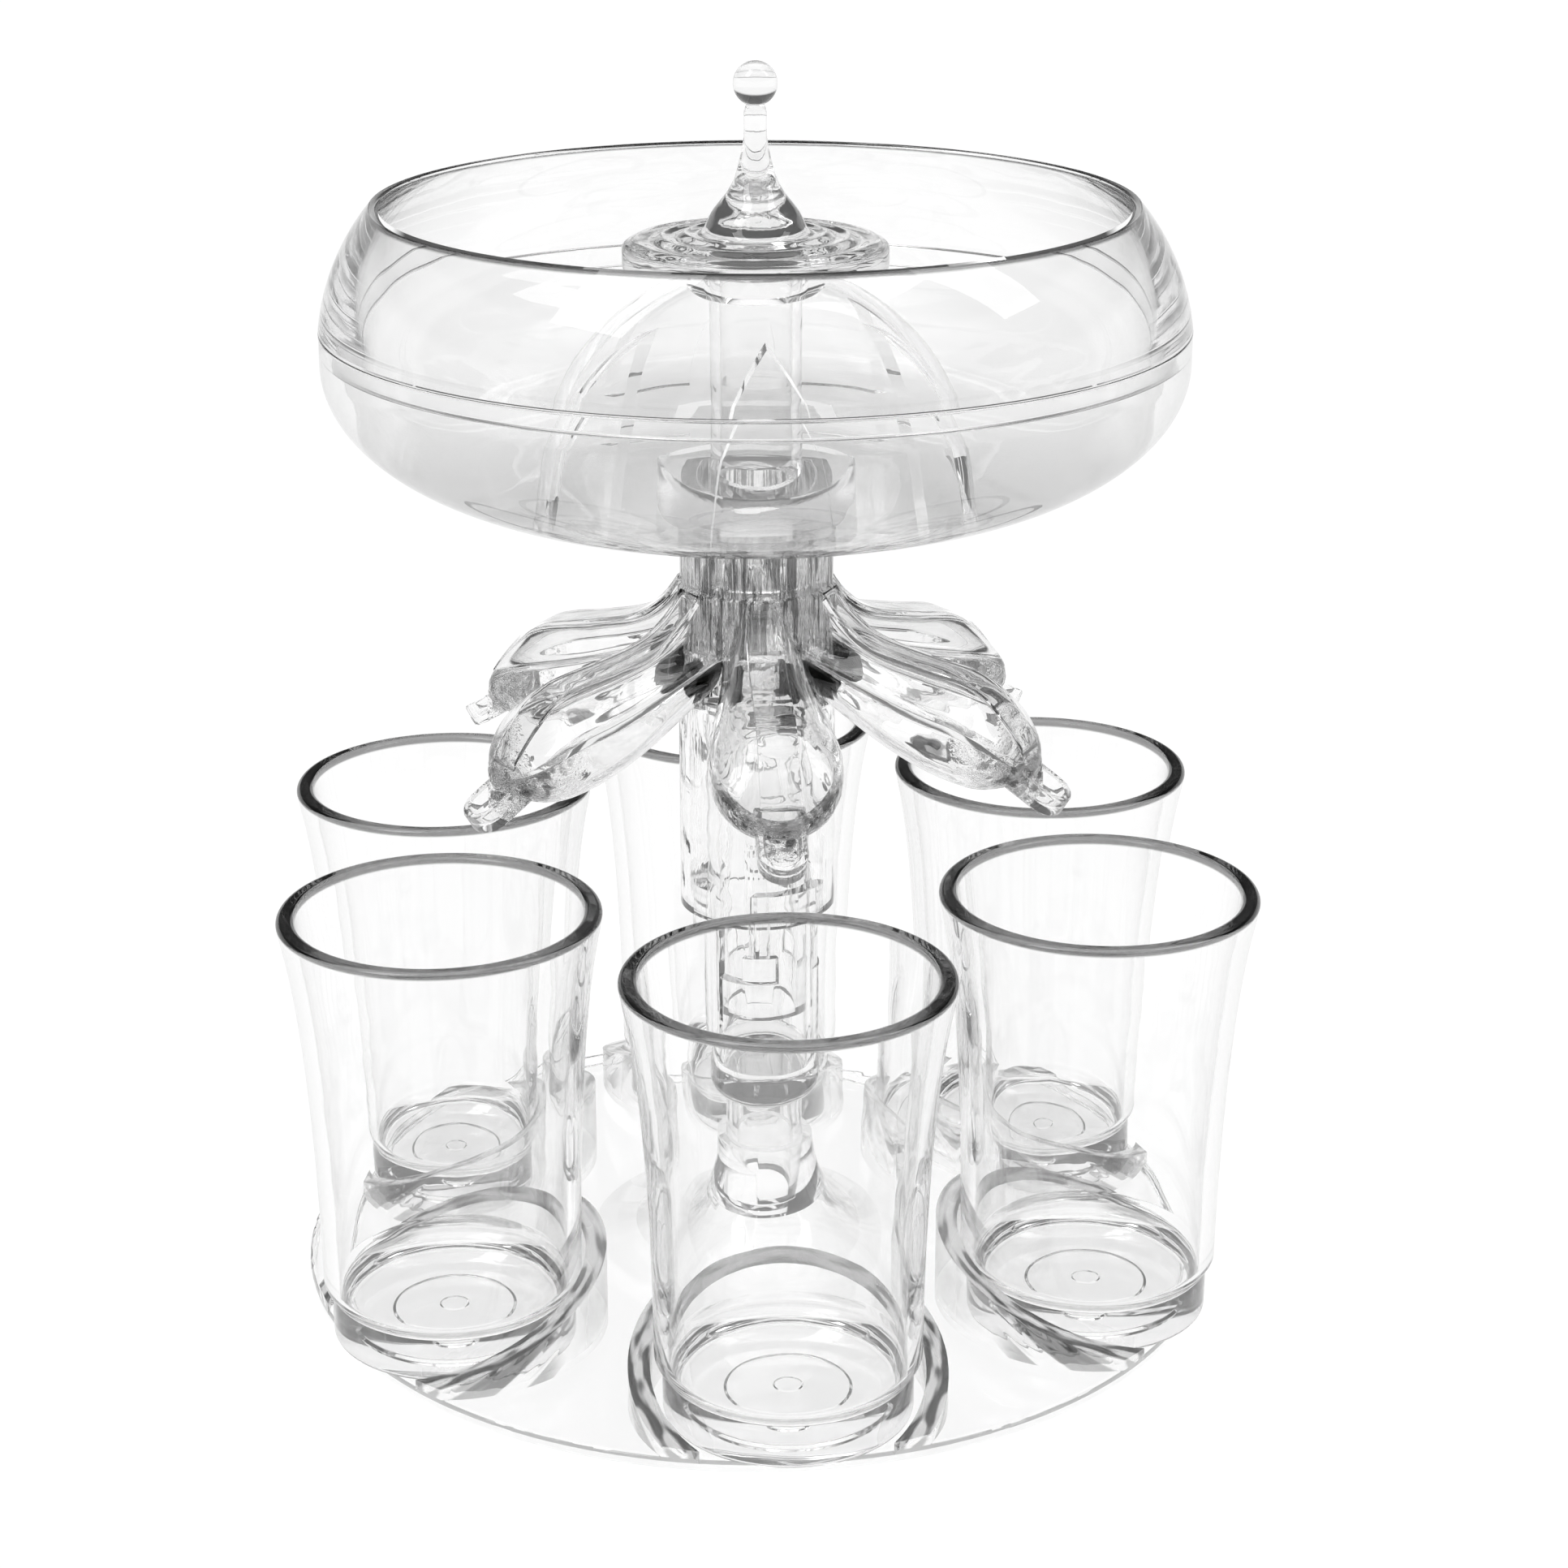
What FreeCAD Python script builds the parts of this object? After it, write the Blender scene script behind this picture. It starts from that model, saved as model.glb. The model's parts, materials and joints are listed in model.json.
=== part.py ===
import FreeCAD, Part
import math
import os

# Party shot dispenser: six clear cups in a holder tray, a post, a six-spout head,
# a two-shell bowl and a splash-shaped stopper.  Millimetres, Z up, origin at the
# middle of the tray underside, front cup and front spout towards -Y.

cupCount = 6
stepAngle = 360.0 / cupCount
frontAngle = -90.0

# fits between pieces
runningFit = 0.08
fitGap = 0.05
bondGap = 0.03
cutMargin = 1.0  # how far a cutting shape runs past what it cuts

# cup, heights above its own foot
cupHeight = 71.0
cupWaistRadius = 20.4
cupWaistHeight = 9.4
cupFootInset = 1.25
cupFootRound = 0.9
cupFootHeight = 7.6
cupFlare = ((0.1, 55.6), (0.2, 44.0), (1.2, 26.0), (2.5, 11.0))  # out past the waist, down from the rim
cupRimFlare = 4.6
cupRimWall = 2.9
cupRimRound = 0.9
cupWall = 2.3
cupFloor = 6.0
cupFloorRound = 4.0
cupRecessRadius = 9.6
cupRecessDepth = 0.6
cupPipRadius = 2.1
cupPipDepth = 0.4
cupRimRadius = cupWaistRadius + cupRimFlare
cupFootRadius = cupWaistRadius - cupFootInset

# tray with its cup holders and pedestal
cupRingRadius = 58.7
trayMargin = 16.6  # tray edge past the ring of cup axes
trayThickness = 2.0
trayEdgeRound = 0.7
holderPlay = 0.6
holderWall = 3.4
holderBackHeight = 17.0
holderFrontHeight = 3.0
spigotRadius = 7.8
socketWall = 1.95
socketDepth = 12.0
socketLedge = 1.2
socketLedgeWidth = 1.8
pedestalFlare = 20.0
pedestalWall = 2.2
trayRadius = cupRingRadius + trayMargin
holderInner = cupWaistRadius + holderPlay
pedestalTopRadius = spigotRadius + fitGap + socketWall
pedestalTopZ = trayThickness + pedestalFlare
socketFloorZ = pedestalTopZ - socketDepth

# levels of the head and the post, counted up from the cup rims
pouringGap = 10.7
nozzleDrop = 15.3
headRise = 33.0
chuteTipZ = trayThickness + cupHeight + pouringGap
headFloorZ = chuteTipZ + nozzleDrop
postTop = headFloorZ - headRise

# post
postWaist = 8.0
postRadius = 10.6
postWall = 2.2
postCavity = 29.4
postFloorThickness = 5.6
postBeadProud = 0.5
postBeadHeight = 6.0
postFootRound = 3.6
spigotWall = 2.2
lugCount = 3
slotWidth = 7.0
slotDepth = 15.0
slotRunHeight = 4.6
slotTurn = 24.0
slotPlay = 0.3
lugSetback = 0.6
postBore = postRadius - postWall
postFootZ = pedestalTopZ + postWaist
postFloor = postTop - postCavity
postBeadRadius = postRadius + postBeadProud
slotFloorZ = postTop - slotDepth

# head core
sleeveWall = 1.82
sleeveLap = 4.5
stemLength = 22.0
stemWall = 2.12
headFloorThickness = 3.0
dividerRadius = 6.5
dividerHeight = 4.5
chamberHeight = 16.4
neckStep = 0.4
neckWall = 2.9
neckHeight = 28.9
gasketThickness = 1.4
gasketBite = 0.3
portWidth = 6.0
portHeight = 6.5
sleeveRadius = postRadius + runningFit + sleeveWall
neckRadius = sleeveRadius - neckStep
chamberBore = neckRadius - neckWall
neckBottom = headFloorZ + chamberHeight
neckTop = headFloorZ + neckHeight

# spout: teardrop in plan, curved keel, flat-topped cover with a raised tongue
spoutTipInset = 10.7
spoutRootX = 12.0
spoutHalfWidth = 10.0
spoutRootHalfWidth = 5.0
spoutWall = 1.6
spoutFillet = 4.6
spoutInnerFillet = 2.6
spoutOverlap = 4.0  # how far the uncut root of a spout reaches into the hub
keelInset = 3.0
keelDepth = 12.0
keelRise = 10.4  # height of the keel at the root above its lowest point
deckLine = ((0.0, 9.5), (0.5, 3.9), (1.0, 1.0))  # share of the way to the tip, height above the head floor
deckThickness = 1.4
tongueHalfWidth = 4.8
tongueInset = 3.6
tongueWall = 1.3
tongueLine = ((0.0, 17.0), (0.086, 12.6), (0.222, 8.6), (0.444, 7.2), (0.667, 6.0), (0.783, 4.0),
              (0.906, 0.6))
nozzleInset = 5.1
nozzleOpening = 5.0
chuteSlope = 31.6
chuteHalfWidth = 3.8
chuteWall = 1.2
chuteRoof = 0.6
chuteHeight = 4.6
chuteLength = 12.0
spoutTipX = cupRingRadius - spoutTipInset
spoutEndCentre = spoutTipX - spoutHalfWidth
spoutRun = spoutEndCentre - spoutRootX
spoutLean = (math.asin(spoutHalfWidth / math.hypot(spoutRun, spoutRootHalfWidth))
             - math.atan2(spoutRootHalfWidth, spoutRun))
keelLowX = spoutTipX - keelInset
keelLowZ = headFloorZ - keelDepth
keelRun = keelLowX - spoutRootX
keelRadius = (keelRun ** 2 + keelRise ** 2) / (2 * keelRise)
tongueEndCentre = spoutTipX - tongueInset - tongueHalfWidth
chuteTipX = cupRingRadius - nozzleInset

# bowl
bowlRadius = 66.6
bowlWall = 4.0
bowlFlatRadius = 27.0
bowlFloorThickness = 2.7
bowlEquatorRise = 22.45
bowlSeamRise = 27.7
bowlLap = 3.2
bowlLip = 1.95
bowlRise = 46.7
bowlMidRise = 7.9
bowlMidDraw = 2.0
bowlMidWall = 2.9
bowlRimDraw = 8.3
bowlRimWall = 1.4
bowlRimRound = 0.8
drainRadius = 7.0
drainLength = 13.3
bowlBottom = neckTop + gasketThickness
bowlFloorZ = bowlBottom + bowlFloorThickness
bowlEquator = bowlBottom + bowlEquatorRise
bowlSeamZ = bowlBottom + bowlSeamRise
bowlLedgeZ = bowlSeamZ - bowlLap
bowlTop = bowlBottom + bowlRise
bowlInnerRadius = bowlRadius - bowlWall
bowlLipInner = bowlRadius - bowlLip

# guide dome inside the bowl
tubeRadius = 7.2
tubeWall = 1.6
domeRadius = 34.5
domeSunk = 5.8
domeWall = 2.0
domeFloorMargin = 0.5
domeArchHalfWidth = 9.0
domeArchRise = 21.5
domeArchShoulder = 6.5
domeArchShoulderRise = 11.8
domeBossWall = 3.0
domeBossDrop = 1.7
domeBossRise = 2.9
domeCentreZ = bowlFloorZ - domeSunk
domeBossBottom = domeCentreZ + domeRadius - domeWall - domeBossDrop
domeBossTop = domeCentreZ + domeRadius + domeBossRise
bowlFloorRadius = domeRadius + domeFloorMargin

# stopper
sealRadius = 15.5
sealThickness = 2.6
sealEdgeRound = 0.6
sealPlugPlay = 0.4
sealPlugDepth = 3.0
sealStudHeight = 8.0
discRadius = 20.4
discGap = 1.2
discThickness = 4.1
discEdgeRound = 0.8
discStudHeight = 5.0
rippleCount = 3
rippleHeight = 0.45
coneFootRadius = 8.9
coneFootRise = 1.4
coneLine = ((7.0, 4.1), (4.9, 6.9), (3.3, 9.6), (2.4, 12.6), (1.75, 17.1))  # radius, height above the disc
ballNeckRadius = 1.75
ballNeckStraight = 1.2
ballNeckRise = 20.7
ballRadius = 3.4
knobRise = 27.2
tubeBore = tubeRadius - tubeWall
tubeBottom = bowlFloorZ + sealThickness
discUnderZ = domeBossTop + discGap
discEdgeZ = discUnderZ + discThickness
topZ = discEdgeZ + knobRise


def vec(x, y, z):
    return FreeCAD.Vector(x, y, z)


def flat(point):
    return vec(point[0], 0, point[1])


def outline(start, moves):
    # a move is a point for a straight edge, (middle, end) for an arc, a list for a smooth curve
    edges = []
    here = start
    for move in moves:
        if isinstance(move, list):
            curve = Part.BSplineCurve()
            curve.interpolate([flat(here)] + [flat(point) for point in move])
            edges.append(curve.toShape())
            here = move[-1]
        elif isinstance(move[0], tuple):
            edges.append(Part.Arc(flat(here), flat(move[0]), flat(move[1])).toShape())
            here = move[1]
        else:
            edges.append(Part.makeLine(flat(here), flat(move)))
            here = move
    if math.dist(here, start) > 1e-7:
        edges.append(Part.makeLine(flat(here), flat(start)))
    return Part.Face(Part.Wire(edges))


def turned(start, moves):
    return outline(start, moves).revolve(vec(0, 0, 0), vec(0, 0, 1), 360)


def slab(start, moves, halfWidth):
    face = outline(start, moves)
    face.translate(vec(0, -halfWidth, 0))
    return face.extrude(vec(0, 2 * halfWidth, 0))


def tube(outer, inner, bottom, top):
    body = Part.makeCylinder(outer, top - bottom, vec(0, 0, bottom))
    return body.cut(Part.makeCylinder(inner, top - bottom, vec(0, 0, bottom)))


def arcMiddle(centreX, centreZ, radius, degrees):
    turn = math.radians(degrees)
    return (centreX + radius * math.cos(turn), centreZ + radius * math.sin(turn))


def ellipsePoints(centreX, centreZ, halfX, halfZ, count):
    # a quarter of an ellipse from its lowest point out to its widest point
    points = []
    for index in range(1, count + 1):
        turn = math.pi / 2 * index / count
        points.append((centreX + halfX * math.sin(turn), centreZ - halfZ * math.cos(turn)))
    return points


def around(shape, index):
    copy = shape.copy()
    copy.rotate(vec(0, 0, 0), vec(0, 0, 1), frontAngle + index * stepAngle)
    return copy


def save(name, shape):
    solids = shape.Solids
    if not shape.isValid() or not solids:
        raise ValueError(name + " is not a valid solid")
    solid = solids[0] if len(solids) == 1 else Part.makeCompound(solids)
    solid.exportStep(os.path.join("parts", name + ".step"))
    print(name, len(solids), round(shape.Volume, 1))


def makeTray():
    body = Part.makeCylinder(trayRadius, trayThickness)
    body = body.makeFillet(trayEdgeRound, [body.Edges[0], body.Edges[2]])
    # the flank of the pedestal is a quarter circle, hollow underneath
    flareX = pedestalTopRadius + pedestalFlare
    hollowRadius = pedestalFlare + pedestalWall
    hollowFoot = flareX - math.sqrt(hollowRadius ** 2 - pedestalTopZ ** 2)
    hollowTopX = flareX - math.sqrt(hollowRadius ** 2 - socketDepth ** 2)
    footTurn = 180 + math.degrees(math.asin(pedestalTopZ / hollowRadius))
    topTurn = 180 + math.degrees(math.asin(socketDepth / hollowRadius))
    pedestal = turned((0, trayThickness / 2), [
        (flareX, trayThickness / 2), (flareX, trayThickness),
        (arcMiddle(flareX, pedestalTopZ, pedestalFlare, 225), (pedestalTopRadius, pedestalTopZ)),
        (0, pedestalTopZ)])
    hollow = turned((0, 0), [
        (hollowFoot, 0),
        (arcMiddle(flareX, pedestalTopZ, hollowRadius, (footTurn + topTurn) / 2), (hollowTopX, socketFloorZ)),
        (0, socketFloorZ)])
    body = body.fuse(pedestal).cut(hollow)
    # each cup stands in a C-shaped wall, high at the middle of the tray, low at the edge
    holderOuter = holderInner + holderWall
    pen = Part.makeCylinder(trayRadius, trayThickness + holderBackHeight)
    for index in range(cupCount):
        wall = tube(holderOuter, holderInner, trayThickness / 2, holderBackHeight + trayThickness)
        wall.translate(vec(cupRingRadius, 0, 0))
        low = cupRingRadius - holderOuter
        wedge = slab((low, 0), [(low, holderBackHeight), (trayRadius, holderFrontHeight), (trayRadius, 0)],
                     holderOuter)
        body = body.fuse(around(wall.common(wedge).common(pen), index))
    body = body.cut(hollow)
    bore = Part.makeCylinder(spigotRadius + fitGap, socketDepth, vec(0, 0, socketFloorZ + socketLedge))
    throat = spigotRadius - socketLedgeWidth
    through = Part.makeCylinder(throat, socketDepth, vec(0, 0, socketFloorZ - cutMargin))
    return body.cut(bore).cut(through).removeSplitter()


def makePost():
    ledgeZ = socketFloorZ + socketLedge
    shoulder = postFootZ + postFootRound
    spigotBore = spigotRadius - spigotWall
    beadTop = postFootZ + postBeadHeight
    centreX = postBeadRadius - postFootRound
    body = turned((spigotBore, ledgeZ), [
        (spigotRadius, ledgeZ), (spigotRadius, postFootZ),
        (arcMiddle(centreX, shoulder, postFootRound, -45), (postBeadRadius, shoulder)),
        (postBeadRadius, beadTop), (postRadius, beadTop + postBeadRadius - postRadius),
        (postRadius, postTop), (postBore, postTop), (postBore, postFloor), (0, postFloor),
        (0, postFloor - postFloorThickness), (spigotBore, postFloor - postFloorThickness)])
    # L-shaped bayonet slots open at the top of the post
    reach = postRadius + cutMargin
    slotHeight = slotDepth + cutMargin
    for index in range(lugCount):
        entry = Part.makeBox(reach, slotWidth, slotHeight, vec(0, -slotWidth / 2, slotFloorZ))
        half = math.degrees(math.asin(slotWidth / 2 / postRadius))
        run = Part.makeCylinder(reach, slotRunHeight, vec(0, 0, slotFloorZ), vec(0, 0, 1), slotTurn + half)
        cutter = entry.fuse(run)
        cutter = cutter.cut(Part.makeCylinder(postBore - cutMargin, slotHeight, vec(0, 0, slotFloorZ)))
        cutter.rotate(vec(0, 0, 0), vec(0, 0, 1), index * 360.0 / lugCount)
        body = body.cut(cutter)
    return body


def makeHeadCore():
    stemRadius = postBore - runningFit
    underFloor = headFloorZ - headFloorThickness
    sleeve = tube(sleeveRadius, postRadius + runningFit, postTop - sleeveLap, underFloor)
    stem = tube(stemRadius, stemRadius - stemWall, postTop - stemLength, underFloor)
    chamber = turned((0, underFloor), [
        (sleeveRadius, underFloor), (sleeveRadius, neckBottom), (neckRadius, neckBottom + neckStep),
        (neckRadius, neckTop), (chamberBore, neckTop), (chamberBore, headFloorZ), (dividerRadius, headFloorZ),
        (0, headFloorZ + dividerHeight)])
    body = sleeve.fuse(stem).fuse(chamber)
    # lugs of the bayonet, at the closed end of the slots
    lugHeight = slotRunHeight - 2 * slotPlay
    lugHalf = math.degrees(math.asin((slotWidth / 2 - slotPlay) / postRadius))
    for index in range(lugCount):
        lug = Part.makeCylinder(postRadius - lugSetback, lugHeight, vec(0, 0, slotFloorZ + slotPlay),
                                vec(0, 0, 1), 2 * lugHalf)
        core = Part.makeCylinder(stemRadius - stemWall / 2, lugHeight, vec(0, 0, slotFloorZ + slotPlay))
        lug = lug.cut(core)
        lug.rotate(vec(0, 0, 0), vec(0, 0, 1), slotTurn - lugHalf + index * 360.0 / lugCount)
        body = body.fuse(lug)
    portCorner = vec(dividerRadius, -portWidth / 2, headFloorZ)
    for index in range(cupCount):
        port = Part.makeBox(sleeveRadius, portWidth, portHeight, portCorner)
        body = body.cut(around(port, index))
    return body.removeSplitter()


def leafPrism(inset, bottom, top):
    # teardrop: two straight flanks tangent to the round end
    endRadius = spoutHalfWidth - inset
    touchX = spoutEndCentre - endRadius * math.sin(spoutLean)
    touchY = endRadius * math.cos(spoutLean)
    rootY = touchY - math.tan(spoutLean) * touchX
    start = vec(0, rootY, bottom)
    touch = vec(touchX, touchY, bottom)
    tip = vec(spoutEndCentre + endRadius, 0, bottom)
    edges = [
        Part.makeLine(start, touch),
        Part.Arc(touch, tip, vec(touchX, -touchY, bottom)).toShape(),
        Part.makeLine(vec(touchX, -touchY, bottom), vec(0, -rootY, bottom)),
        Part.makeLine(vec(0, -rootY, bottom), start)]
    return Part.Face(Part.Wire(edges)).extrude(vec(0, 0, top - bottom))


def spoutPlace(place):
    # a share of the way from the neck to the spout's tip, and a height above the head floor
    share, height = place
    return (spoutRootX + share * (spoutTipX - spoutRootX), headFloorZ + height)


def keelPoint(x, lift):
    # height of the keel curve, moved up by the wall thickness
    radius = keelRadius - lift
    return (x, keelLowZ + keelRadius - math.sqrt(radius ** 2 - (x - keelLowX) ** 2))


def circleThrough(first, second, third):
    # centre and radius of the circle through three points of the side plane
    ax, az = first
    bx, bz = second[0] - ax, second[1] - az
    cx, cz = third[0] - ax, third[1] - az
    twice = 2 * (bx * cz - bz * cx)
    ux = (cz * (bx ** 2 + bz ** 2) - bz * (cx ** 2 + cz ** 2)) / twice
    uz = (bx * (cx ** 2 + cz ** 2) - cx * (bx ** 2 + bz ** 2)) / twice
    return ax + ux, az + uz, math.hypot(ux, uz)


def deckPoint(x, lift):
    # the deck of the spout is the lower side of a large circle
    centreX, centreZ, radius = circleThrough(*[spoutPlace(place) for place in deckLine])
    radius = radius - lift
    return (x, centreZ - math.sqrt(radius ** 2 - (x - centreX) ** 2))


def spoutSlab(low, high, startX, endX, halfWidth):
    # the solid between two side curves, each given by a function of x
    middle = (startX + endX) / 2
    return slab(low(startX), [(low(middle), low(endX)), high(endX), (high(middle), high(startX))], halfWidth)


def keelEdges(shape, lift):
    # the edges along the keel: both ends lie on the keel curve, and the edge runs outwards
    edges = []
    for edge in shape.Edges:
        low = all(abs(vertex.Z - keelPoint(vertex.X, lift)[1]) < fitGap for vertex in edge.Vertexes)
        if low and edge.BoundBox.XLength > cutMargin:
            edges.append(edge)
    return edges


def chutePrism(halfWidth, startX, endX, roof):
    # U-shaped bar along the chute: round below, flat or open above
    slope = math.radians(chuteSlope)
    along = vec(math.cos(slope), 0, -math.sin(slope))
    up = vec(math.sin(slope), 0, math.cos(slope))
    lowest = vec(chuteTipX, 0, chuteTipZ)
    centre = lowest + up * chuteHalfWidth
    top = centre + up * roof
    side = vec(0, halfWidth, 0)
    edges = [
        Part.Arc(centre + side, centre - up * halfWidth, centre - side).toShape(),
        Part.makeLine(centre - side, top - side),
        Part.makeLine(top - side, top + side),
        Part.makeLine(top + side, centre + side)]
    face = Part.Face(Part.Wire(edges))
    face.translate(along * endX)
    return face.extrude(along * (startX - endX))


def tongueTopZ():
    return spoutPlace(tongueLine[0])[1]


def makeTrough():
    startX = sleeveRadius - spoutOverlap
    endX = spoutTipX + cutMargin
    wide = spoutHalfWidth + cutMargin
    base = keelLowZ - cutMargin
    crown = tongueTopZ()
    outer = leafPrism(0, base, crown).common(spoutSlab(
        lambda x: keelPoint(x, 0), lambda x: deckPoint(x, -deckThickness), startX, endX, wide))
    outer = outer.makeFillet(spoutFillet, keelEdges(outer, 0))
    inner = leafPrism(spoutWall, base, crown).common(spoutSlab(
        lambda x: keelPoint(x, spoutWall), lambda x: deckPoint(x, cutMargin), startX, endX, wide))
    inner = inner.makeFillet(spoutInnerFillet, keelEdges(inner, spoutWall))
    lip = chuteHeight - chuteHalfWidth
    chute = chutePrism(chuteHalfWidth, -chuteLength, 0, lip)
    passage = chutePrism(chuteHalfWidth - chuteWall, -chuteLength, cutMargin, lip - chuteRoof)
    mouth = chutePrism(chuteHalfWidth - chuteWall, -nozzleOpening, cutMargin, 2 * chuteHeight)
    body = outer.fuse(chute).cut(inner).cut(passage).cut(mouth)
    hub = Part.makeCylinder(sleeveRadius + bondGap, crown - base, vec(0, 0, base))
    return body.cut(hub).removeSplitter()


def tonguePrism(inset, bottom, top):
    # straight bar with a round end, pointing away from the hub
    half = tongueHalfWidth - inset
    bar = Part.makeBox(tongueEndCentre, 2 * half, top - bottom, vec(0, -half, bottom))
    return bar.fuse(Part.makeCylinder(half, top - bottom, vec(tongueEndCentre, 0, bottom))).removeSplitter()


def tongueSlab(drop, floor, halfWidth):
    # side view of the tongue: level over the neck, then falling to the deck
    line = [(x, z - drop) for x, z in [spoutPlace(place) for place in reversed(tongueLine)]]
    return slab((0, floor), [(line[0][0], floor), line[0], line[1:], (0, line[-1][1])], halfWidth)


def makeCover():
    endX = spoutTipX + cutMargin
    middle = endX / 2
    wide = spoutHalfWidth + cutMargin
    base = keelLowZ
    crown = tongueTopZ() + cutMargin
    plate = leafPrism(0, base, crown).common(spoutSlab(
        lambda x: deckPoint(x, -deckThickness), lambda x: deckPoint(x, 0), 0, endX, wide))
    hump = tonguePrism(0, base, crown).common(tongueSlab(0, base, wide))
    hollow = tonguePrism(tongueWall, base, crown).common(tongueSlab(tongueWall, base, wide))
    under = slab((0, base), [
        (endX, base), deckPoint(endX, -deckThickness),
        (deckPoint(middle, -deckThickness), deckPoint(0, -deckThickness))], wide)
    body = plate.fuse(hump).cut(under).cut(hollow)
    hub = Part.makeCylinder(sleeveRadius + bondGap, neckBottom + neckStep - base, vec(0, 0, base))
    neck = Part.makeCylinder(neckRadius + bondGap, crown - base, vec(0, 0, base))
    return body.cut(hub).cut(neck).removeSplitter()


def makeCup():
    wallTop = cupRimRadius - cupRimWall
    floorX = cupWaistRadius - cupWall
    footX = cupFootRadius - cupFootRound
    flare = [(cupWaistRadius + out, cupHeight - down) for out, down in cupFlare]
    outer = flare + [(cupRimRadius, cupHeight - cupRimRound)]
    inner = [(radius - cupWall, height) for radius, height in reversed(flare[1:])]
    inner = inner + [(floorX, cupFloor + cupFloorRound)]
    body = turned((0, 0), [
        (footX, 0), (arcMiddle(footX, cupFootRound, cupFootRound, -45), (cupFootRadius, cupFootRound)),
        (cupFootRadius, cupFootHeight), (cupWaistRadius, cupWaistHeight), outer,
        (arcMiddle(cupRimRadius - cupRimRound, cupHeight - cupRimRound, cupRimRound, 45),
         (cupRimRadius - cupRimRound, cupHeight)),
        (wallTop + cupRimRound, cupHeight),
        (arcMiddle(wallTop + cupRimRound, cupHeight - cupRimRound, cupRimRound, 135),
         (wallTop, cupHeight - cupRimRound)), inner,
        (arcMiddle(floorX - cupFloorRound, cupFloor + cupFloorRound, cupFloorRound, -45),
         (floorX - cupFloorRound, cupFloor)), (0, cupFloor)])
    # shallow recess and moulding pip under the foot
    body = body.cut(Part.makeCylinder(cupRecessRadius, cupRecessDepth))
    body = body.cut(Part.makeCylinder(cupPipRadius, cupRecessDepth + cupPipDepth))
    body.translate(vec(cupRingRadius, 0, trayThickness))
    return body


def makeBowlLower():
    inner = ellipsePoints(bowlFloorRadius, bowlEquator, bowlInnerRadius - bowlFloorRadius,
                          bowlEquator - bowlFloorZ, 8)
    outer = ellipsePoints(bowlFlatRadius, bowlEquator, bowlRadius - bowlFlatRadius,
                          bowlEquator - bowlBottom, 10)
    drainBottom = bowlBottom - drainLength
    return turned((drainRadius, drainBottom), [
        (chamberBore - runningFit, drainBottom), (chamberBore - runningFit, bowlBottom),
        (bowlFlatRadius, bowlBottom), outer, (bowlRadius, bowlSeamZ), (bowlLipInner, bowlSeamZ),
        (bowlLipInner, bowlLedgeZ), (bowlInnerRadius, bowlLedgeZ), (bowlInnerRadius, bowlEquator),
        list(reversed(inner[:-1])) + [(bowlFloorRadius, bowlFloorZ)], (drainRadius, bowlFloorZ)])


def makeBowlUpper():
    skirt = bowlLipInner - fitGap
    midZ = bowlSeamZ + bowlMidRise
    midX = bowlRadius - bowlMidDraw
    rimZ = bowlTop - bowlRimRound
    rimX = bowlRadius - bowlRimDraw
    return turned((bowlInnerRadius, bowlLedgeZ), [
        (skirt, bowlLedgeZ), (skirt, bowlSeamZ), (bowlRadius, bowlSeamZ),
        ((midX, midZ), (rimX, rimZ)), ((rimX - bowlRimWall / 2, bowlTop), (rimX - bowlRimWall, rimZ)),
        ((midX - bowlMidWall, midZ), (bowlInnerRadius, bowlSeamZ))])


def makeDome():
    inner = domeRadius - domeWall
    rise = bowlFloorZ - domeCentreZ
    outerFoot = math.sqrt(domeRadius ** 2 - rise ** 2)
    innerFoot = math.sqrt(inner ** 2 - rise ** 2)
    footTurn = math.degrees(math.asin(rise / inner))
    outerTurn = math.degrees(math.asin(rise / domeRadius))
    shell = turned((innerFoot, bowlFloorZ), [
        (outerFoot, bowlFloorZ),
        (arcMiddle(0, domeCentreZ, domeRadius, (outerTurn + 90) / 2), (0, domeCentreZ + domeRadius)),
        (0, domeCentreZ + inner),
        (arcMiddle(0, domeCentreZ, inner, (footTurn + 90) / 2), (innerFoot, bowlFloorZ))])
    bossHeight = domeBossTop - domeBossBottom
    shell = shell.fuse(Part.makeCylinder(tubeRadius + domeBossWall, bossHeight, vec(0, 0, domeBossBottom)))
    bore = Part.makeCylinder(tubeRadius + runningFit, domeRadius, vec(0, 0, domeBossBottom - cutMargin))
    shell = shell.cut(bore)
    # pointed arches let the drink in under the dome
    footZ = bowlFloorZ - cutMargin
    shoulderZ = bowlFloorZ + domeArchShoulderRise
    tip = vec(0, 0, bowlFloorZ + domeArchRise)
    left = vec(0, -domeArchHalfWidth, footZ)
    right = vec(0, domeArchHalfWidth, footZ)
    for index in range(cupCount):
        edges = [
            Part.makeLine(left, right),
            Part.Arc(right, vec(0, domeArchShoulder, shoulderZ), tip).toShape(),
            Part.Arc(tip, vec(0, -domeArchShoulder, shoulderZ), left).toShape()]
        arch = Part.Face(Part.Wire(edges)).extrude(vec(domeRadius + cutMargin, 0, 0))
        shell = shell.cut(around(arch, index))
    return shell


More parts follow.
